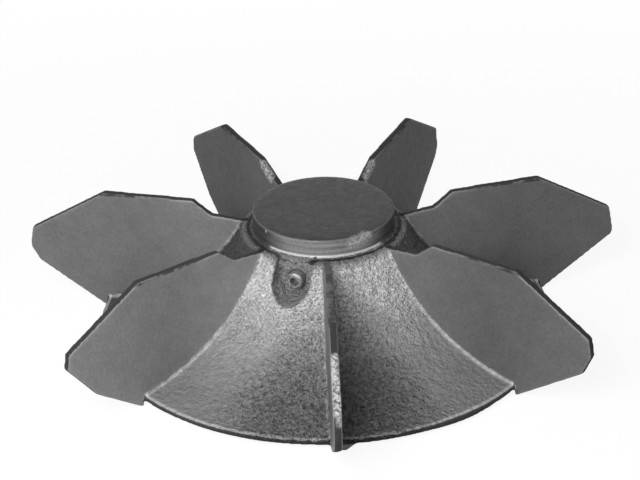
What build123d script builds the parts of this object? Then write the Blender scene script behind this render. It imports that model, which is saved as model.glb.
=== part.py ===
from build123d import *
import os

# An open fan impeller, cast in one piece: flat vanes stand radially on a trumpet-shaped disc round
# a hub with a closed top. A set screw in a pocket in the hub holds it on its keyed shaft.
# Millimetres. Z is the shaft's axis, and Z = 0 is the hub's rear face, where the bore opens.

# Hub, from its closed top down to the ledge where the disc starts
hub_radius = 51.0
hub_height = 94.0
ledge_height = 80.0
ledge_width = 8.0
hub_edge = 1.0

# Shaft bore and its keyway
bore_radius = 25.0
bore_depth = 78.0
key_width = 14.0
key_depth = 3.8

# Disc: its concave face sweeps from the ledge down to a thin rim, past a knee that draws the curve
rim_radius = 166.5
rim_height = 7.5
rim_thickness = 3.6
face_knee_radius = 91.0
face_knee_height = 18.5

# Hollow under the disc, round the hub
hollow_height = 46.0
hollow_throat = 15.0
hollow_knee_radius = 94.0
hollow_knee_height = 12.5
hub_draft = 3.0

# Vanes: the neck beside the hub, the crown and the tip
vane_thickness = 5.6
neck_rise = 3.0
crown_radius = 163.0
crown_rise = 2.0
tip_radius = 225.0
tip_rake = 4.3
tip_top = 63.5
tip_bottom = 41.5
heel_foot = 2.0

# Each vane as it was cast and dressed, from the one at -Y on towards +X: how many degrees it stands
# off an even pitch, how long its neck and its shoulder are, and how much of its outer lower corner
# is ground off, up the tip and inwards.
vane_yaws = (0.0, -1.5, -1.0, -0.8, 1.0, 1.0, 0.0)
neck_lengths = (24.0, 24.0, 24.0, 4.0, 8.0, 24.0, 24.0)
shoulder_runs = (13.5, 13.5, 13.5, 27.0, 29.5, 13.5, 13.5)
tip_cuts = (6.0, 9.5, 2.0, 4.0, 10.0, 7.0, 11.0)
lower_cuts = (6.0, 10.0, 2.0, 6.0, 36.0, 9.0, 28.0)

# Lump of metal left in the corner between the heel of the vane at -Y and the rim, on its +X side
lump_width = 12.5
lump_foot = 7.5
lump_depth = 3.0
lump_reach = 1.0
lump_drop = 1.0

# Set screw and the pocket that it is reached through
screw_radius = 6.0
screw_length = 30.0
screw_height = 64.0
screw_angle = -113.0
screw_edge = 1.2
thread_clearance = 0.1
tip_clearance = 0.2
socket_flats = 6.0
socket_depth = 6.0
pocket_radius = 13.5
pocket_height = 66.5
pocket_land = 1.5

# Places that follow from the sizes above
vane_count = len(vane_yaws)
pitch = 360.0 / vane_count
ledge_radius = hub_radius + ledge_width
rim_bottom = rim_height - rim_thickness
key_roof = bore_radius + key_depth
screw_tip = key_roof + tip_clearance
pocket_seat = hub_radius + pocket_land


def radial_plane(distance, height):
    """A plane square to the set screw's axis, facing outwards."""
    outwards = Vector(1, 0, 0).rotate(Axis.Z, screw_angle)
    return Plane(
        origin=outwards * distance + Vector(0, 0, height),
        x_dir=Vector(0, 1, 0).rotate(Axis.Z, screw_angle),
        z_dir=outwards,
    )


def vane(number):
    """The vane of that number, laid along +X, with the lower corner of its tip cut back."""
    neck_end = Vector(ledge_radius + neck_lengths[number], ledge_height + neck_rise)
    shoulder = Vector(neck_end.X + shoulder_runs[number], hub_height)
    crown = Vector(crown_radius, hub_height + crown_rise)
    tip = Vector(tip_radius - tip_rake, tip_top)
    corner = Vector(tip_radius, tip_bottom)
    heel = Vector(rim_radius + heel_foot, 0)
    above_cut = corner + (tip - corner).normalized() * tip_cuts[number]
    below_cut = corner + (heel - corner).normalized() * lower_cuts[number]
    neck_start = Vector(hub_radius, ledge_height - neck_rise)
    foot = Vector(hub_radius, 0)
    with BuildPart() as blade:
        with BuildSketch(Plane.XZ):
            with BuildLine():
                Polyline(
                    foot, neck_start, (ledge_radius, ledge_height), neck_end, shoulder,
                    crown, tip, above_cut, below_cut, heel, close=True,
                )
            make_face()
        extrude(amount=vane_thickness / 2, both=True)
    return blade.part


# The casting
with BuildPart() as impeller:
    # Hub, ledge and disc, turned about the axis
    with BuildSketch(Plane.XZ):
        with BuildLine():
            Polyline((ledge_radius, ledge_height), (hub_radius, ledge_height),
                     (hub_radius, hub_height - hub_edge), (hub_radius - hub_edge, hub_height),
                     (0, hub_height), (0, 0), (rim_radius, 0), (rim_radius, rim_height))
            Bezier((rim_radius, rim_height), (face_knee_radius, face_knee_height),
                   (ledge_radius, ledge_height))
        make_face()
    revolve(axis=Axis.Z)

    # Vanes
    for number in range(vane_count):
        turn = -90.0 + number * pitch + vane_yaws[number]
        with Locations(Location((0, 0, 0), (0, 0, turn))):
            add(vane(number))

    # Hollow under the disc
    with BuildSketch(Plane.XZ):
        with BuildLine():
            Polyline((rim_radius, rim_bottom), (rim_radius, -1), (hub_radius, -1), (hub_radius, 0),
                     (hub_radius + hub_draft, hollow_height),
                     (hub_radius + hollow_throat, hollow_height))
            Bezier((hub_radius + hollow_throat, hollow_height),
                   (hollow_knee_radius, hollow_knee_height), (rim_radius, rim_bottom))
        make_face()
    revolve(axis=Axis.Z, mode=Mode.SUBTRACT)

    # Lump at the front vane's heel
    with BuildSketch(Plane.XZ.offset(rim_radius - lump_depth)):
        with BuildLine():
            Polyline((0, 0), (lump_foot, 0), (lump_width, rim_bottom),
                     (lump_width, rim_height - lump_drop), (0, rim_height - lump_drop), close=True)
        make_face()
    extrude(amount=lump_depth + lump_reach)

    # Bore and keyway
    with BuildSketch(Plane.XY):
        Circle(bore_radius)
        with Locations(Location((0, 0, 0), (0, 0, screw_angle))):
            Rectangle(key_roof, key_width, align=(Align.MIN, Align.CENTER))
    extrude(amount=bore_depth, mode=Mode.SUBTRACT)

    # Pocket, open at the ledge, and the tapped hole from it into the keyway
    with BuildSketch(radial_plane(pocket_seat, pocket_height)):
        Circle(pocket_radius)
        Rectangle(2 * pocket_radius, hub_height - pocket_height, align=(Align.CENTER, Align.MIN))
    extrude(amount=rim_radius - pocket_seat, mode=Mode.SUBTRACT)
    with BuildSketch(radial_plane(bore_radius, screw_height)):
        Circle(screw_radius + thread_clearance)
    extrude(amount=pocket_seat - bore_radius, mode=Mode.SUBTRACT)
impeller.part.label = "impeller"

# The set screw, with a hexagon socket and both ends chamfered
with BuildPart() as set_screw:
    with BuildSketch(radial_plane(screw_tip, screw_height)):
        Circle(screw_radius)
    extrude(amount=screw_length)
    chamfer(set_screw.edges().filter_by(GeomType.CIRCLE), screw_edge)
    with BuildSketch(radial_plane(screw_tip + screw_length, screw_height)):
        RegularPolygon(socket_flats / 2, 6, major_radius=False)
    extrude(amount=-socket_depth, mode=Mode.SUBTRACT)
set_screw.part.label = "set_screw"

os.makedirs("parts", exist_ok=True)
export_step(impeller.part, "parts/impeller.step")
export_step(set_screw.part, "parts/set_screw.step")
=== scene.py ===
import functools
import math

import bpy
import numpy as np
from mathutils import Matrix, Vector, noise


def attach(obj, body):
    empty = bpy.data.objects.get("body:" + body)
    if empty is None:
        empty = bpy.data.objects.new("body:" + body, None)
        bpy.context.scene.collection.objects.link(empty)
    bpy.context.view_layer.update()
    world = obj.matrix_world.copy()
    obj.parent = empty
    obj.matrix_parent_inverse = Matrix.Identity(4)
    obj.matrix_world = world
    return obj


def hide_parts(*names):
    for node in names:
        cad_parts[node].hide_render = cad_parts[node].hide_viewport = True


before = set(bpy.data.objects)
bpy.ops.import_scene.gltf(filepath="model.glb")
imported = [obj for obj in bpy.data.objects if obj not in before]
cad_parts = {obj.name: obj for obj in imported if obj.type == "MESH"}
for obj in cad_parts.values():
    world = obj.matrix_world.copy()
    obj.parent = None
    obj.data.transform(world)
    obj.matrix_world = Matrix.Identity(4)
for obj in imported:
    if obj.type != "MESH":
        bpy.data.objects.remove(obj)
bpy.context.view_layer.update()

MM = 0.001

# Camera, as it stood to the impeller
CAMERA_AZIMUTH = -1.3
CAMERA_ELEVATION = 28.38
CAMERA_ROLL = 1.425
CAMERA_DISTANCE = 1.2151
CAMERA_AIM = Vector((-3.0, 24.9, 53.6)) * MM
FOCAL_PIXELS = 1636.0
PICTURE_WIDTH = 640
SENSOR = 36.0
CLIP_END = 20.0

# The casting's main sizes, in millimetres, which its surface finish goes by
HUB_RADIUS = 51.0
HUB_HEIGHT = 94.0
LEDGE = (59.0, 80.0)
KNEE = (91.0, 18.5)
RIM = (166.5, 7.5)
CROWN_RADIUS = 163.0
VANE_HALF = 2.8
VANE_YAWS = (0.0, -1.5, -1.0, -0.8, 1.0, 1.0, 0.0)
POCKET_ANGLE = -113.0
POCKET_HEIGHT = 66.5
POCKET_RADIUS = 13.5

# How far off a vane, the disc's face, the rim, the cap or the pocket's wall or floor a point may
# lie and still be part of it, in millimetres
VANE_MARGIN = 0.8
FACE_MARGIN = 2.0
RIM_MARGIN = 1.0
CAP_MARGIN = 0.7
POCKET_MARGIN = 0.5
POCKET_FLOOR_MARGIN = 1.0

# Where other zones end: the cap's side above the ledge, its top below its highest point, the disc
# below the ledge, and the pocket outside the hub and under the disc's face
CAP_FOOT = 0.5
CAP_TOP = 0.8
LEDGE_SKIRT = 3.0
POCKET_INSIDE = 1.0
POCKET_DEPTH = 0.8

# How light the iron is, as a share of its own grey, with painted light and shade in it. The vanes
# go from the one at -Y on towards +X, each with a tone lighter where light falls on it and darker
# where it is in shade, and the disc's tones, a painted highlight strongest by the hub, go with the
# radius in the two passages beside that vane. The cap's top is painted in shade, and its side and
# the pocket painted lit.
IRON_GREY = 0.17
VANE_LIGHT_TONES = (0.85, 0.76, 0.72, 0.50, 0.50, 0.92, 1.22)
DISC_HIGHLIGHT_TONES = ((51.0, 1.3), (58.0, 1.5), (62.0, 4.1), (74.0, 4.0), (90.0, 2.6), (110.0, 1.60),
              (140.0, 1.30), (166.5, 1.30))
PLAIN_TONE = 0.55
CAP_TOP_SHADE_TONE = 0.19
CAP_SIDE_LIGHT_TONE = 1.15
POCKET_LIGHT_TONE = 1.9

# Where the painted light changes, in degrees round from the vane at -Y and in millimetres along a
# vane, and the share of painted light that the cap's side loses away from the front and the vanes'
# inner ends gain
PASSAGE_END = (49.5, 52.0)
CAP_SIDE_TURN = (25.0, 60.0)
CAP_SIDE_SHADE_LOSS = 0.78
VANE_INNER = (85.0, 150.0)
VANE_INNER_LIGHT_GAIN = 0.35
FOOT_HIGHLIGHT_END = (46.0, 51.0)

# Greys of the worn edges, the painted highlight lines, the dark bands and painted shade, the
# painted highlight in the vanes' roots, and the bright patches and painted highlights
EDGE_GREY = 0.26
HIGHLIGHT_LINE_GREY = 0.5
DARK_AND_SHADE_GREY = 0.03
ROOT_HIGHLIGHT_GREY = 0.55
BRIGHT_AND_HIGHLIGHT_GREY = 0.8

# Patches lightened: vane, how far along it, how high and how far off its middle, in millimetres, at
# both ends, and then the patch's width and strength. The first two, on the front vane's sloping
# outer edge, and the fifth, on the cap's side, are painted highlights; the third and fourth are
# bright patches by the necks of vanes 4 and 3, and the last is a small bright spot on the cap's
# edge.
BRIGHT_AND_HIGHLIGHT_PATCHES = (
    (0, 186.0, 83.5, 0.5, 218.0, 66.0, 0.8, 5.0, 0.9),
    (0, 219.5, 64.5, 1.2, 221.5, 58.5, 1.3, 3.0, 0.45),
    (4, 92.0, 90.0, 2.8, 79.0, 84.5, 2.8, 5.0, 0.9),
    (3, 86.0, 90.0, -2.8, 73.0, 84.0, -2.8, 5.0, 0.9),
    (0, 47.5, 89.5, 18.5, 42.0, 92.0, 29.0, 5.5, 0.4),
    (0, 29.8, 91.6, -41.4, 29.8, 91.0, -41.4, 1.3, 1.0),
)

# Surface mesh, in millimetres and counts. A point counts as a root by how far smoothing lifts it,
# and as an edge by how far smoothing sinks it.
VOXEL = 1.05
ROOT_PASSES = 5
EDGE_PASSES = 4
LEDGE_PASSES = 26
TRIANGLES = 190000
ROOT_RISE = (0.04, 0.22)
EDGE_FALL = (0.12, 0.50)

# How much of the sand's print the disc shows: least, and what fades with the degrees from the vane
# at -Y and with the radius
LEAST_SAND = 0.22
SAND_TURN = (12.0, 34.0)
SAND_INNER = (75.0, 120.0)
SAND_INNER_SHARE = 0.65
SAND_OUTER = (100.0, 140.0)
SAND_OUTER_GAIN = 0.6
POCKET_SAND = 0.8

# The cast skin's noises, as the size of their lumps and their own offset
BROAD = (32.0, 1.7)
MEDIUM = (9.0, 4.1)
LUMPS = (6.0, 7.9)
GRAIN = (3.2, 2.3)
PITS = (5.0, 11.2)
PIT_LEVELS = (0.22, 0.50)

# How far they stand out or sink in, in millimetres, in the sand's full print and without it
BROAD_HEIGHT = 0.10
LUMP_HEIGHT = 0.60
GRAIN_HEIGHT = 0.35
MEDIUM_HEIGHT = 0.10
PIT_DEPTH = 0.90
CALM_MEDIUM_HEIGHT = 0.08
CALM_GRAIN_HEIGHT = 0.04
TURNED_HEIGHT = 0.015

# The painted shade on the vanes' crowns: where it runs on over the ledge, its share on the front
# crown, and how far off a vane's middle is kept for it
NECK_BELOW = 4.0
NECK_INSIDE = 3.5
NECK_OUTSIDE = 3.0
CROWN_SHADE_SHARE = 0.45
FAR_ACROSS = 12.0

# The low stretch of the rim: degrees round its middle and its half width, its drop, and the radii
# and heights over which it starts
SAG_MIDDLE = -57.0
SAG_HALF = 9.0
SAG_DROP = 1.7
SAG_RADII = (160.0, 164.0)
SAG_HEIGHTS = (4.0, 7.0)

# The softened corner of the ledge: its half height and how far off the hub it starts
CORNER_HALF = 6.0
CORNER_REACH = (2.0, 4.0)

# Lines and edges, as the radii and heights that they run between: the painted highlight lines
# inside the rim and at the cap's foot, the darker bands at the rim's outer edge and round the cap's
# top, the painted shade on the ledge under the cap's foot and on the vanes' crowns, and the start
# of the painted highlight in the roots
RIM_DARK_BAND = (RIM[0] - 1.1, RIM[0] - 0.5)
RIM_HIGHLIGHT = (RIM[0] - 3.4, RIM[0] - 2.4)
RIM_HIGHLIGHT_HEIGHTS = (RIM[1] - 1.5, RIM[1] - 1.0)
RIM_HIGHLIGHT_STRENGTH = 0.75
CAP_DARK_BAND = (HUB_RADIUS - 2.2, HUB_RADIUS - 1.4)
CAP_DARK_BAND_HEIGHTS = (HUB_HEIGHT - 0.6, HUB_HEIGHT - 0.3)
CAP_SIDE_HEIGHTS = (HUB_HEIGHT - 0.4, HUB_HEIGHT - 1.0)
FOOT_HIGHLIGHT = (49.0, 53.2)
FOOT_HIGHLIGHT_HEIGHTS = (80.9, 82.0)
FOOT_HIGHLIGHT_SOFT = 0.3
LEDGE_SHADE = (53.4, 55.6)
LEDGE_SHADE_HEIGHTS = (76.0, 82.0)
FOOT_SOFT = 0.4
VANE_EDGE = (2.5, 2.1)
ROOT_HIGHLIGHT_START = (57.0, 60.0)
FINE_SAND_END = (112.0, 98.0)

# Levels of the materials' noise that a ramp runs between: even, in the sand and in patches
EVEN = (0.3, 0.7)
SAND_LEVELS = (0.36, 0.52)
PATCHY = (0.40, 0.55)

# How strongly each thing shows on the iron, and the iron's own shader values
EDGE_STRENGTH = 0.45
# Strength of the dark bands and the painted shade
DARK_AND_SHADE_STRENGTH = 0.92
# How far painted shade darkens the sand's pits
PIT_SHADE = 0.35
# Roughness that the dark bands and painted shade add
DARK_AND_SHADE_ROUGHNESS = 0.3
METALLIC = 0.2
SPECULAR_LEVEL = 0.1
LUMP_BUMP = 8.0
CRUMB_BUMP = 1.5
STREAK_BUMP = 0.12

# The set screw's steel and the floor's paper, whose glow grows with the distance in metres
SCREW_GREYS = (0.16, 0.40)
SCREW_METALLIC = 0.7
SCREW_BUMP = 1.0
FLOOR_GREY = 0.80
FLOOR_ROUGHNESS = 0.9
GLOW_SHARE = 0.85
GLOW_DISTANCES = (0.3, 1.0)
GLOW_STRENGTHS = (1.06, 1.12)

# Room: lamps as name, degrees round and up, distance and size in metres, and power in watts
LAMPS = (
    ("key", -22, 37, 1.0, 0.5, 9.7),
    ("back", 180, 12, 1.5, 0.8, 4.5),
)
LAMP_AIM = Vector((0, 0, 0.05))
WORLD_LIGHT = 0.18
FLOOR_HALF = 6.0
FLOOR_DROP = 0.0002


def make_camera():
    """The camera, from its azimuth and elevation round the point that it is aimed at."""
    azimuth = math.radians(CAMERA_AZIMUTH)
    elevation = math.radians(CAMERA_ELEVATION)
    roll = math.radians(CAMERA_ROLL)
    turn = Matrix.Rotation(azimuth, 3, "Z")
    right = turn @ Vector((1, 0, 0))
    up = turn @ Vector((0, math.sin(elevation), math.cos(elevation)))
    back = turn @ Vector((0, -math.cos(elevation), math.sin(elevation)))
    image_right = right * math.cos(roll) - up * math.sin(roll)
    image_up = right * math.sin(roll) + up * math.cos(roll)
    place = turn @ CAMERA_AIM + back * CAMERA_DISTANCE
    data = bpy.data.cameras.new("camera")
    data.sensor_width = SENSOR
    data.lens = SENSOR * FOCAL_PIXELS / PICTURE_WIDTH
    data.clip_end = CLIP_END
    camera = bpy.data.objects.new("camera", data)
    bpy.context.collection.objects.link(camera)
    axes = Matrix((image_right, image_up, back)).transposed()
    camera.matrix_world = Matrix.Translation(place) @ axes.to_4x4()
    bpy.context.scene.camera = camera


# ---------------------------------------------------------------- mesh

def coordinates(mesh):
    """The mesh's vertices as an array, in metres."""
    flat = np.empty(len(mesh.vertices) * 3)
    mesh.vertices.foreach_get("co", flat)
    return flat.reshape(-1, 3)


def normals(mesh):
    """The mesh's vertex normals as an array."""
    flat = np.empty(len(mesh.vertices) * 3)
    mesh.vertices.foreach_get("normal", flat)
    return flat.reshape(-1, 3)


def smoothed(points, edges, passes):
    """points drawn towards their neighbours' mean, a half of the way in each pass."""
    count = len(points)
    a, b = edges[:, 0], edges[:, 1]
    degree = np.maximum(np.bincount(a, minlength=count) + np.bincount(b, minlength=count), 1)
    for _ in range(passes):
        mean = np.empty_like(points)
        for axis in range(3):
            total = np.bincount(a, points[b, axis], count) + np.bincount(b, points[a, axis], count)
            mean[:, axis] = total / degree
        points = points + 0.5 * (mean - points)
    return points


def smoothstep(low, high, value):
    """0 below low and 1 above high, with a soft rise between."""
    t = np.clip((value - low) / (high - low), 0.0, 1.0)
    return t * t * (3.0 - 2.0 * t)


def field(points, size, offset):
    """Noise from -1 to 1 at each point, with lumps about size millimetres across."""
    scale = 1.0 / (size * MM)
    shift = Vector((offset, 2.0 * offset, 3.0 * offset))
    return np.array([noise.noise(Vector(p) * scale + shift) for p in points])


def vane_angle(number):
    """Which way a vane points, in radians."""
    return math.radians(-90.0 + number * 360.0 / len(VANE_YAWS) + VANE_YAWS[number])


def vane_frame(points):
    """Which vane is nearest, and how far along and off its middle each point is, in mm."""
    nearest = np.zeros(len(points), dtype=int)
    along = np.full(len(points), -1.0)
    across = np.full(len(points), 1000.0)
    for number in range(len(VANE_YAWS)):
        c, s = math.cos(vane_angle(number)), math.sin(vane_angle(number))
        reach = (points[:, 0] * c + points[:, 1] * s) / MM
        off = (points[:, 1] * c - points[:, 0] * s) / MM
        nearer = (reach > 0) & (np.abs(off) < np.abs(across))
        nearest[nearer] = number
        along[nearer] = reach[nearer]
        across[nearer] = off[nearer]
    return nearest, along, across


def disc_height(radius):
    """The height in millimetres of the disc's upper face, a curve from the ledge to the rim."""
    t = np.linspace(0.0, 1.0, 60)
    curve = [(1 - t) ** 2 * LEDGE[i] + 2 * t * (1 - t) * KNEE[i] + t ** 2 * RIM[i] for i in (0, 1)]
    return np.interp(radius, curve[0], curve[1])


def on_vane(number, along, height, off):
    """A point given in a vane's own millimetres, in metres in the shared frame."""
    c, s = math.cos(vane_angle(number)), math.sin(vane_angle(number))
    return Vector((along * c - off * s, along * s + off * c, height)) * MM


def remeshed(source, name):
    """A copy of a CAD node with an even mesh all over."""
    mesh = source.data.copy()
    piece = bpy.data.objects.new(name, mesh)
    bpy.context.collection.objects.link(piece)
    modifier = piece.modifiers.new("even", "REMESH")
    modifier.mode = "VOXEL"
    modifier.voxel_size = VOXEL * MM
    modifier.adaptivity = 0.0
    apply_modifiers(piece)
    return piece


def apply_modifiers(piece):
    """Bakes a piece's modifiers into its mesh."""
    graph = bpy.context.evaluated_depsgraph_get()
    baked = bpy.data.meshes.new_from_object(piece.evaluated_get(graph))
    old = piece.data
    piece.modifiers.clear()
    piece.data = baked
    bpy.data.meshes.remove(old)


def mesh_edges(mesh):
    """The mesh's edges as pairs of vertex numbers."""
    flat = np.empty(len(mesh.edges) * 2, dtype=np.int64)
    mesh.edges.foreach_get("vertices", flat)
    return flat.reshape(-1, 2)


def store(mesh, name, values):
    """Keeps one value per vertex as a mesh attribute that the materials read."""
    attribute = mesh.attributes.new(name, "FLOAT", "POINT")
    attribute.data.foreach_set("value", values.astype(np.float32))


def zones(start):
    """Where the disc's upper face, the vanes, the turned hub and the pocket are."""
    r = np.hypot(start[:, 0], start[:, 1]) / MM
    z = start[:, 2] / MM
    nearest, along, across = vane_frame(start)
    above = z - disc_height(r)
    vane = (np.abs(across) < VANE_HALF + VANE_MARGIN) & (along > LEDGE[0])
    vane &= (above > FACE_MARGIN) | (r > RIM[0] + RIM_MARGIN)
    hub = (r < HUB_RADIUS + CAP_MARGIN) & (z > LEDGE[1] + CAP_FOOT)
    disc = ~vane & ~hub & (r > HUB_RADIUS)
    disc &= (np.abs(above) < FACE_MARGIN) | (z > LEDGE[1] - LEDGE_SKIRT)
    azimuth = np.degrees(np.arctan2(start[:, 1], start[:, 0]))
    turn = np.abs((azimuth + 90.0 + 180.0) % 360.0 - 180.0)
    sideways = np.radians(azimuth - POCKET_ANGLE) * r
    pocket = (np.abs(sideways) < POCKET_RADIUS + POCKET_MARGIN) & (above < -POCKET_DEPTH)
    pocket &= r > HUB_RADIUS + POCKET_INSIDE
    pocket &= z > POCKET_HEIGHT - POCKET_RADIUS - POCKET_FLOOR_MARGIN
    return {"r": r, "z": z, "nearest": nearest, "along": along, "across": across, "vane": vane,
            "azimuth": azimuth, "turn": turn, "hub": hub, "disc": disc, "pocket": pocket}


def tones_with_painted_light(zone):
    """How light the iron is, as a share of its own grey, which the underside keeps. It holds
    painted light
    and shade: the disc's highlight beside the front vane, the lit pocket, the vanes' lit and shaded
    tones, their lit inner ends, and the cap's lit side and shaded top.
    """
    radii, levels = zip(*DISC_HIGHLIGHT_TONES)
    painted_light_tone = np.interp(zone["r"], radii, levels)
    # Painted highlight: the disc is lighter in the two passages beside the front vane, most by the
    # hub.
    painted_light_tone += (PLAIN_TONE - painted_light_tone) * smoothstep(*PASSAGE_END, zone["turn"])
    painted_light_tone = np.where(zone["disc"], painted_light_tone, 1.0)
    # Painted light and shade: the cap's side is lit at the front and darker away from it, its top
    # in shade.
    side = CAP_SIDE_LIGHT_TONE * (1.0 - CAP_SIDE_SHADE_LOSS * smoothstep(*CAP_SIDE_TURN, zone["turn"]))
    painted_light_tone = np.where(zone["hub"], side, painted_light_tone)
    painted_light_tone = np.where(zone["hub"] & (zone["z"] > HUB_HEIGHT - CAP_TOP), CAP_TOP_SHADE_TONE, painted_light_tone)
    # Painted light: the pocket is lighter, as the disc round it is.
    painted_light_tone[zone["pocket"]] = POCKET_LIGHT_TONE
    # Painted light and shade: each vane's own tone, and its inner end lighter by the hub.
    inner = 1.0 + VANE_INNER_LIGHT_GAIN * (1.0 - smoothstep(*VANE_INNER, zone["along"]))
    return np.where(zone["vane"], np.array(VANE_LIGHT_TONES)[zone["nearest"]] * inner, painted_light_tone)


def sandiness(zone):
    """How coarse the sand's print is on the disc: most beside the front vane and by the hub."""
    beside = 1.0 - smoothstep(*SAND_TURN, zone["turn"])
    inner = 1.0 - smoothstep(*SAND_INNER, zone["r"])
    outer = 1.0 + SAND_OUTER_GAIN * smoothstep(*SAND_OUTER, zone["r"])
    share = np.maximum(beside * outer, SAND_INNER_SHARE * inner)
    sand = LEAST_SAND + (1.0 - LEAST_SAND) * share
    return np.where(zone["disc"], sand, np.where(zone["pocket"], POCKET_SAND, 0.0))


def crown_shade(zone):
    """How much painted shade the vanes' crowns and their necks over the ledge get: less on the
    front vane's crown.
    """
    neck = (np.abs(zone["across"]) < VANE_HALF + VANE_MARGIN) & (zone["z"] > LEDGE[1] - NECK_BELOW)
    neck &= (zone["r"] > LEDGE[0] - NECK_INSIDE) & (zone["r"] < LEDGE[0] + NECK_OUTSIDE)
    crown = (zone["nearest"] == 0) & (zone["r"] < CROWN_RADIUS)
    return (zone["vane"] | neck) * np.where(crown, CROWN_SHADE_SHARE, 1.0)


def uneven_rim(start, zone):
    """The rim's lower edge hangs a little lower on the right of the front vane."""
    lobe = np.exp(-((zone["azimuth"] - SAG_MIDDLE) / SAG_HALF) ** 2)
    under = smoothstep(*SAG_RADII, zone["r"]) * (1.0 - smoothstep(*SAG_HEIGHTS, zone["z"]))
    start[:, 2] -= SAG_DROP * MM * lobe * under * ~zone["vane"]


def ledge_corner(zone):
    """1 round the ledge's outer corner, between the vanes."""
    height = np.exp(-((zone["z"] - LEDGE[1]) / CORNER_HALF) ** 4)
    reach = smoothstep(HUB_RADIUS + CORNER_REACH[0], HUB_RADIUS + CORNER_REACH[1], zone["r"])
    return height * reach * ~(zone["vane"] | zone["hub"] | zone["pocket"])


def sand_skin(start, zone, sand):
    """How far the sand-cast skin stands out, in millimetres."""
    broad = field(start, *BROAD)
    medium = field(start, *MEDIUM)
    lumps = field(start, *LUMPS)
    grain = field(start, *GRAIN)
    pits = smoothstep(*PIT_LEVELS, field(start, *PITS))
    rough = LUMP_HEIGHT * np.clip(lumps, 0.0, None) + GRAIN_HEIGHT * grain - PIT_DEPTH * pits
    rough += MEDIUM_HEIGHT * medium
    calm = CALM_MEDIUM_HEIGHT * medium + CALM_GRAIN_HEIGHT * grain
    skin = BROAD_HEIGHT * broad + sand * rough + (1.0 - sand) * calm
    return np.where(zone["hub"], TURNED_HEIGHT * medium, skin)


def worn_shape(start, outward, edges, zone):
    """The points with their roots filled and outer edges worn, and where either is."""
    worn = smoothed(start, edges, EDGE_PASSES)
    softer = smoothed(worn, edges, LEDGE_PASSES)
    worn += (softer - worn) * ledge_corner(zone)[:, None]
    filled = smoothed(worn, edges, ROOT_PASSES)
    rise = np.einsum("ij,ij->i", filled - start, outward) / MM
    root = smoothstep(*ROOT_RISE, rise)
    edge = smoothstep(*EDGE_FALL, -rise)
    return worn + (filled - worn) * root[:, None], root, edge


def make_casting():
    """The cast body: rounded roots and edges, sand-cast lumps and pits."""
    piece = remeshed(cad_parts["impeller"], "impeller_casting")
    mesh = piece.data
    edges = mesh_edges(mesh)
    start = coordinates(mesh)
    outward = normals(mesh)
    zone = zones(start)
    uneven_rim(start, zone)
    points, root, edge = worn_shape(start, outward, edges, zone)
    sand = sandiness(zone)
    skin = sand_skin(start, zone, sand)
    points = points + outward * (skin * MM)[:, None]
    mesh.vertices.foreach_set("co", points.ravel())
    store(mesh, "root", root)
    store(mesh, "edge", edge)
    store(mesh, "sand", sand)
    store(mesh, "turned", zone["hub"].astype(float))
    store(mesh, "off", np.clip(zone["across"], -FAR_ACROSS, FAR_ACROSS))
    store(mesh, "crown_shade", crown_shade(zone))
    # Where the painted highlight along the cap's foot shows: at the front only.
    store(mesh, "front_highlight", 1.0 - smoothstep(*FOOT_HIGHLIGHT_END, zone["turn"]))
    store(mesh, "on_disc", zone["disc"] | ((zone["r"] < RIM[0] + RIM_MARGIN) & ~zone["vane"]))
    # The tone holds painted light and shade.
    store(mesh, "painted_light_tone", tones_with_painted_light(zone))
    mesh.update()

    modifier = piece.modifiers.new("thin", "DECIMATE")
    modifier.ratio = TRIANGLES / (2.0 * len(mesh.polygons))
    apply_modifiers(piece)
    piece.data.polygons.foreach_set("use_smooth", [True] * len(piece.data.polygons))
    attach(piece, "root")
    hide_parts("impeller")
    return piece


# ---------------------------------------------------------------- materials

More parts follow.
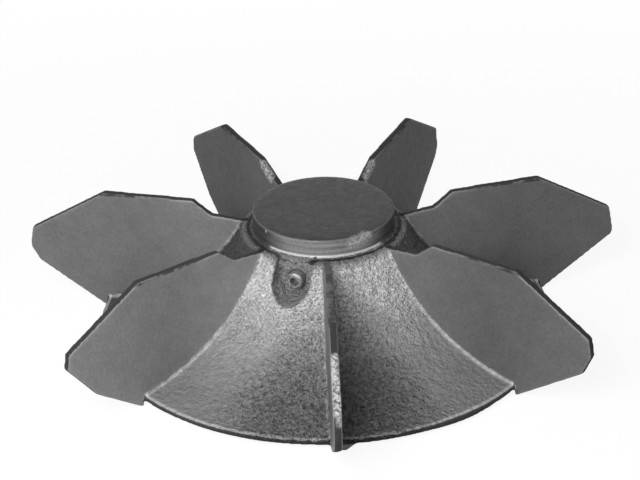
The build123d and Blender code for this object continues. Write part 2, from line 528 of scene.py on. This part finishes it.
class Nodes:
    """Short calls for building a node tree."""

    def __init__(self, name):
        self.material = bpy.data.materials.new(name)
        self.material.use_nodes = True
        self.tree = self.material.node_tree
        self.shader = self.tree.nodes["Principled BSDF"]
        self.place = self.node("ShaderNodeTexCoord").outputs["Object"]

    def node(self, kind, **values):
        """A new node with those settings."""
        made = self.tree.nodes.new(kind)
        for key, value in values.items():
            setattr(made, key, value)
        return made

    def link(self, a, b):
        """Feeds socket a into socket b."""
        self.tree.links.new(a, b)

    def attribute(self, name):
        """A value that store() keeps on the mesh."""
        return self.node("ShaderNodeAttribute", attribute_name=name).outputs["Fac"]

    def radius(self):
        """Distance from the shaft's axis, in metres."""
        flat = self.node("ShaderNodeVectorMath", operation="MULTIPLY")
        flat.inputs[1].default_value = (1.0, 1.0, 0.0)
        self.link(self.place, flat.inputs[0])
        length = self.node("ShaderNodeVectorMath", operation="LENGTH")
        self.link(flat.outputs["Vector"], length.inputs[0])
        return length.outputs["Value"]

    def height(self):
        """Height above the hub's rear face, in metres."""
        split = self.node("ShaderNodeSeparateXYZ")
        self.link(self.place, split.inputs["Vector"])
        return split.outputs["Z"]

    def noise(self, size, detail=3.0, rough=0.6, stretch=None):
        """Noise with features about size millimetres across."""
        made = self.node("ShaderNodeTexNoise")
        made.inputs["Scale"].default_value = 1.0 / (size * MM)
        made.inputs["Detail"].default_value = detail
        made.inputs["Roughness"].default_value = rough
        place = self.place
        if stretch:
            mapping = self.node("ShaderNodeMapping")
            mapping.inputs["Scale"].default_value = stretch
            self.link(self.place, mapping.inputs["Vector"])
            place = mapping.outputs["Vector"]
        self.link(place, made.inputs["Vector"])
        return made.outputs["Fac"]

    def ramp(self, value, low, high, a=0.0, b=1.0):
        """a at low and beyond it, b at high and beyond it, and straight between them."""
        made = self.node("ShaderNodeMapRange")
        made.inputs["From Min"].default_value = low
        made.inputs["From Max"].default_value = high
        made.inputs["To Min"].default_value = a
        made.inputs["To Max"].default_value = b
        self.link(value, made.inputs["Value"])
        return made.outputs["Result"]

    def rise(self, value, start, end):
        """0 at start and 1 at end, in millimetres, whichever of the two is larger."""
        return self.ramp(value, start * MM, end * MM)

    def band(self, value, low, high, soft):
        """1 between low and high millimetres, and 0 from soft beyond them."""
        return self.product(self.rise(value, low - soft, low), self.rise(value, high + soft, high))

    def product(self, *values):
        """All the values multiplied, from the first on."""
        return functools.reduce(lambda a, b: self.math("MULTIPLY", a, b), values)

    def most(self, *values):
        """The largest of the values."""
        return functools.reduce(lambda a, b: self.math("MAXIMUM", a, b), values)

    def less(self, value):
        """What is left of 1 after the value."""
        return self.math("SUBTRACT", 1.0, value)

    def math(self, operation, a, b):
        """A number from the numbers or sockets a and b."""
        made = self.node("ShaderNodeMath", operation=operation)
        for number, value in enumerate((a, b)):
            if isinstance(value, float):
                made.inputs[number].default_value = value
            else:
                self.link(value, made.inputs[number])
        return made.outputs[0]

    def mix(self, amount, a, b):
        """Colour a, turning into colour b with amount."""
        made = self.node("ShaderNodeMix", data_type="RGBA")
        for key, value in (("Factor", amount), (6, a), (7, b)):
            socket = made.inputs[key]
            if isinstance(value, (tuple, float)):
                socket.default_value = value
            else:
                self.link(value, socket)
        return made.outputs[2]

    def vector(self, operation, a, b):
        """The node that does a vector operation on a and b."""
        made = self.node("ShaderNodeVectorMath", operation=operation)
        for number, value in enumerate((a, b)):
            if isinstance(value, Vector):
                made.inputs[number].default_value = value
            else:
                self.link(value, made.inputs[number])
        return made

    def capsule(self, a, b, width):
        """1 along the line from a to b, and 0 from width millimetres off it."""
        line = b - a
        offset = self.vector("SUBTRACT", self.place, a).outputs["Vector"]
        share = self.vector("DOT_PRODUCT", offset, line / line.length_squared)
        nearest = self.node("ShaderNodeVectorMath", operation="SCALE")
        nearest.inputs[0].default_value = line
        self.link(self.ramp(share.outputs["Value"], 0.0, 1.0), nearest.inputs["Scale"])
        away = self.vector("DISTANCE", offset, nearest.outputs["Vector"])
        return self.rise(away.outputs["Value"], width, 0.3 * width)

    def blend(self, amount, a, b):
        """The number a, turning into b with amount."""
        made = self.node("ShaderNodeMix", data_type="FLOAT")
        self.link(amount, made.inputs[0])
        made.inputs[2].default_value = a
        self.link(b, made.inputs[3])
        return made.outputs[0]

    def bump(self, height, distance, below=None):
        """The normal below, bent by height, where 1 stands distance millimetres high."""
        made = self.node("ShaderNodeBump")
        made.inputs["Distance"].default_value = distance * MM
        made.inputs["Strength"].default_value = 1.0
        self.link(height, made.inputs["Height"])
        if below is not None:
            self.link(below, made.inputs["Normal"])
        return made.outputs["Normal"]


def grey(level):
    """An opaque neutral grey."""
    return (level, level, level, 1.0)


def iron_tone(n, height):
    """The iron's grey: its tone, with the painted light and shade that it holds, mottled, with
    turning marks on the cap's side.
    """
    mottle = n.ramp(n.noise(18.0, detail=4.0), *EVEN, a=0.92, b=1.08)
    grain = n.ramp(n.noise(2.2), *EVEN, a=0.88, b=1.12)
    side = n.product(n.attribute("turned"), n.rise(height, *CAP_SIDE_HEIGHTS))
    marks = n.ramp(n.noise(2.4, stretch=(0.05, 0.05, 1.0)), 0.32, 0.68, a=0.65, b=1.40)
    return n.product(n.attribute("painted_light_tone"), mottle, grain, IRON_GREY, n.blend(side, 1.0, marks))


def dark_and_shade_lines(n, radius, height):
    """Painted shade on the vanes' crowns and on the ledge at the cap's foot, and darker bands at
    the rim's outer edge and round the edge of the cap's top.
    """
    vane = n.ramp(n.math("ABSOLUTE", n.attribute("off"), 0.0), *VANE_EDGE)
    vane = n.product(vane, n.attribute("crown_shade"))
    rim = n.product(n.attribute("on_disc"), n.rise(radius, *RIM_DARK_BAND))
    cap = n.product(n.rise(height, *CAP_DARK_BAND_HEIGHTS), n.rise(radius, *CAP_DARK_BAND),
                    n.ramp(n.noise(9.0), *PATCHY, a=0.2, b=0.9))
    foot = n.product(n.band(radius, *LEDGE_SHADE, FOOT_SOFT),
                     n.band(height, *LEDGE_SHADE_HEIGHTS, FOOT_SOFT),
                     n.ramp(n.noise(7.0), 0.35, 0.55, a=0.6, b=1.0))
    return n.most(vane, rim, cap, foot)


def highlight_lines(n, radius, height):
    """Painted highlights: the light line inside the rim and, at the front only, along the cap's
    foot.
    """
    rim = n.product(n.attribute("on_disc"), n.rise(radius, *RIM_HIGHLIGHT),
                    n.rise(height, *RIM_HIGHLIGHT_HEIGHTS), RIM_HIGHLIGHT_STRENGTH)
    foot = n.product(n.attribute("front_highlight"), n.band(height, *FOOT_HIGHLIGHT_HEIGHTS, FOOT_HIGHLIGHT_SOFT),
                     n.band(radius, *FOOT_HIGHLIGHT, FOOT_SOFT))
    return n.most(rim, foot)


def root_highlights(n, radius):
    """Painted highlight along the vanes' roots on the disc."""
    filled = n.ramp(n.attribute("root"), 0.7, 1.0)
    # The painted highlight's strength, broken up by noise
    worn = n.ramp(n.noise(6.0), 0.35, 0.6, a=0.1, b=0.45)
    return n.product(filled, n.rise(radius, *ROOT_HIGHLIGHT_START), worn)


def sand_print(n, radius):
    """0 in the sand's pits and 1 between them: fine by the hub and coarser further out."""
    coarse = n.ramp(n.noise(2.9), *SAND_LEVELS)
    fine = n.ramp(n.noise(1.3, detail=2.0, rough=0.5), *SAND_LEVELS)
    inner = n.rise(radius, *FINE_SAND_END)
    return n.math("ADD", n.product(inner, fine), n.product(n.less(inner), coarse))


def bright_and_highlight_patches(n):
    """How strongly each place is lightened by the bright patches and painted highlights."""
    patches = 0.0
    for number, r1, z1, d1, r2, z2, d2, width, strength in BRIGHT_AND_HIGHLIGHT_PATCHES:
        patch = n.capsule(on_vane(number, r1, z1, d1), on_vane(number, r2, z2, d2), width)
        patches = n.most(patches, n.product(patch, strength))
    return patches


def iron_skin(n, sand, pits):
    """The normal of the cast skin: lumps, crumbs and pits in the sand's print, and fine streaks."""
    lumps = n.math("SUBTRACT", n.noise(4.2, rough=0.55), 0.5)
    crumbs = n.math("ADD", n.product(pits, 0.5), n.noise(1.6, detail=2.0))
    crumbs = n.math("SUBTRACT", crumbs, 0.9)
    lumpy = n.bump(n.product(lumps, sand), LUMP_BUMP)
    sandy = n.bump(n.product(crumbs, sand), CRUMB_BUMP, lumpy)
    streaks = n.noise(3.0, stretch=(1.0, 1.0, 0.12))
    return n.bump(n.math("ADD", streaks, n.noise(1.6)), STREAK_BUMP, sandy)


def iron_material():
    """Dark cast iron: sandy on the disc, smoother on the vanes, turned on the hub."""
    n = Nodes("cast_iron_skin")
    radius, height = n.radius(), n.height()
    sand = n.attribute("sand")
    pits = sand_print(n, radius)
    dark_and_shade = dark_and_shade_lines(n, radius, height)
    patches = bright_and_highlight_patches(n)

    # Painted shade: the iron is darker in the sand's pits.
    in_pits = n.product(n.less(pits), n.math("MINIMUM", sand, 1.0))
    colour = n.product(iron_tone(n, height), n.less(n.product(in_pits, PIT_SHADE)))
    layers = (
        (n.product(n.attribute("edge"), EDGE_STRENGTH), EDGE_GREY),
        # Painted highlight lines
        (highlight_lines(n, radius, height), HIGHLIGHT_LINE_GREY),
        # Dark bands and painted shade
        (n.product(dark_and_shade, DARK_AND_SHADE_STRENGTH), DARK_AND_SHADE_GREY),
        # Painted highlight in the vanes' roots
        (root_highlights(n, radius), ROOT_HIGHLIGHT_GREY),
        # Bright patches and painted highlights
        (n.product(patches, n.ramp(n.noise(2.2), *PATCHY, a=0.3, b=1.0)), BRIGHT_AND_HIGHLIGHT_GREY),
    )
    for amount, level in layers:
        colour = n.mix(amount, colour, grey(level))
    n.link(colour, n.shader.inputs["Base Color"])

    n.shader.inputs["Metallic"].default_value = METALLIC
    n.shader.inputs["Specular IOR Level"].default_value = SPECULAR_LEVEL
    rough = n.ramp(n.noise(5.0), *EVEN, a=0.46, b=0.58)
    n.link(n.math("ADD", rough, n.product(dark_and_shade, DARK_AND_SHADE_ROUGHNESS)), n.shader.inputs["Roughness"])
    n.link(iron_skin(n, n.most(sand, patches), pits), n.shader.inputs["Normal"])
    return n.material


def steel_material():
    """The set screw's dull steel."""
    n = Nodes("screw_steel")
    dark, light = SCREW_GREYS
    colour = n.mix(n.ramp(n.noise(2.0), 0.35, 0.65), grey(dark), grey(light))
    n.link(colour, n.shader.inputs["Base Color"])
    n.shader.inputs["Metallic"].default_value = SCREW_METALLIC
    rough = n.ramp(n.noise(1.2, detail=2.0), *EVEN, a=0.45, b=0.65)
    n.link(rough, n.shader.inputs["Roughness"])
    n.link(n.bump(n.noise(3.0), SCREW_BUMP), n.shader.inputs["Normal"])
    return n.material


def floor_material():
    """White paper: the camera sees it nearly white, with the object's shadow left in."""
    n = Nodes("white_paper")
    n.shader.inputs["Base Color"].default_value = grey(FLOOR_GREY)
    n.shader.inputs["Roughness"].default_value = FLOOR_ROUGHNESS
    distance = n.node("ShaderNodeVectorMath", operation="LENGTH")
    n.link(n.place, distance.inputs[0])
    glow = n.node("ShaderNodeEmission")
    glow.inputs["Color"].default_value = grey(1.0)
    strength = n.ramp(distance.outputs["Value"], *GLOW_DISTANCES, *GLOW_STRENGTHS)
    n.link(strength, glow.inputs["Strength"])
    mix = n.node("ShaderNodeMixShader")
    n.link(n.product(seen(n.tree), GLOW_SHARE), mix.inputs["Fac"])
    n.link(n.shader.outputs[0], mix.inputs[1])
    n.link(glow.outputs[0], mix.inputs[2])
    n.link(mix.outputs[0], n.tree.nodes["Material Output"].inputs["Surface"])
    return n.material


def seen(tree):
    """1 for the rays that see the room, straight or in a reflection, and 0 for its light."""
    path = tree.nodes.new("ShaderNodeLightPath")
    total = path.outputs["Is Camera Ray"]
    for kind in ("Is Glossy Ray", "Is Transmission Ray"):
        most = tree.nodes.new("ShaderNodeMath")
        most.operation = "MAXIMUM"
        tree.links.new(total, most.inputs[0])
        tree.links.new(path.outputs[kind], most.inputs[1])
        total = most.outputs[0]
    return total


def paint(piece, material):
    """Gives a piece that material alone."""
    piece.data.materials.clear()
    piece.data.materials.append(material)


# ---------------------------------------------------------------- room

def make_floor():
    """A large white floor that the impeller stands on."""
    mesh = bpy.data.meshes.new("floor")
    corners = [(x * FLOOR_HALF, y * FLOOR_HALF, 0) for x, y in ((-1, -1), (1, -1), (1, 1), (-1, 1))]
    mesh.from_pydata(corners, [], [(0, 1, 2, 3)])
    floor = bpy.data.objects.new("floor", mesh)
    floor.location.z = -FLOOR_DROP
    bpy.context.collection.objects.link(floor)
    paint(floor, floor_material())


def make_world():
    """Even pale light from all round, which the camera and reflections see as white."""
    world = bpy.data.worlds.new("studio")
    world.use_nodes = True
    nodes, links = world.node_tree.nodes, world.node_tree.links
    light = nodes["Background"]
    light.inputs["Color"].default_value = grey(1.0)
    light.inputs["Strength"].default_value = WORLD_LIGHT
    white = nodes.new("ShaderNodeBackground")
    white.inputs["Color"].default_value = grey(1.0)
    white.inputs["Strength"].default_value = 1.0
    mix = nodes.new("ShaderNodeMixShader")
    links.new(seen(world.node_tree), mix.inputs["Fac"])
    links.new(light.outputs[0], mix.inputs[1])
    links.new(white.outputs[0], mix.inputs[2])
    links.new(mix.outputs[0], nodes["World Output"].inputs["Surface"])
    bpy.context.scene.world = world


def area_light(name, azimuth, elevation, distance, size, power):
    """A square lamp aimed at the hub from that side and height."""
    a, e = math.radians(azimuth), math.radians(elevation)
    data = bpy.data.lights.new(name, "AREA")
    data.shape = "SQUARE"
    data.size = size
    data.energy = power
    lamp = bpy.data.objects.new(name, data)
    bpy.context.collection.objects.link(lamp)
    back = Vector((math.sin(a) * math.cos(e), -math.cos(a) * math.cos(e), math.sin(e)))
    lamp.location = LAMP_AIM + back * distance
    lamp.rotation_euler = back.to_track_quat("Z", "Y").to_euler()


make_camera()
casting = make_casting()
paint(casting, iron_material())
paint(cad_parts["set_screw"], steel_material())
make_floor()
make_world()
for lamp in LAMPS:
    area_light(*lamp)
bpy.context.scene.view_settings.view_transform = "Standard"
